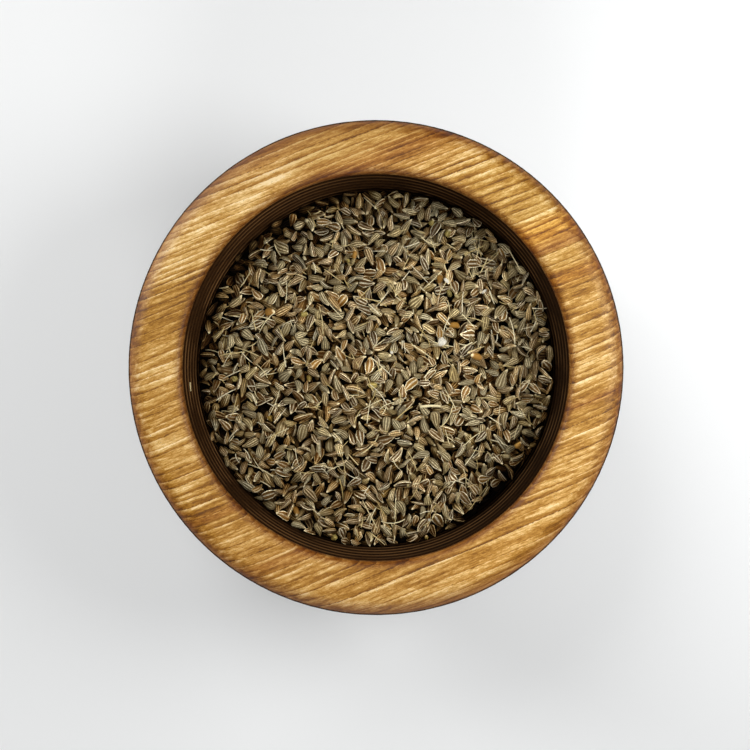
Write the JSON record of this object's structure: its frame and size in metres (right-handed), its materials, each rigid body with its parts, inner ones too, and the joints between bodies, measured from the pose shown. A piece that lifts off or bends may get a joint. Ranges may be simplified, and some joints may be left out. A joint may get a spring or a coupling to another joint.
{
  "type": "bowl of aniseed",
  "caption": "Thick-walled turned wooden bowl with a wide rounded rim and a ringed inner wall, filled to below its rim with a low heap of aniseed.",
  "frame": {"origin": "middle of the bowl's foot, on the surface that it stands on", "axes": "+Z up, along the bowl's turning axis; +Y is up and +X is right in the picture, which looks straight down"},
  "size_m": [0.12, 0.12, 0.052],
  "materials": {
    "wood": "satin golden softwood rim, walls and foot stained dark brown",
    "aniseed": "dry dull grey-brown seeds with pale ribs"
  },
  "bodies": {
    "root": {"bowl": "wood", "aniseed": "aniseed"}
  },
  "joints": []
}
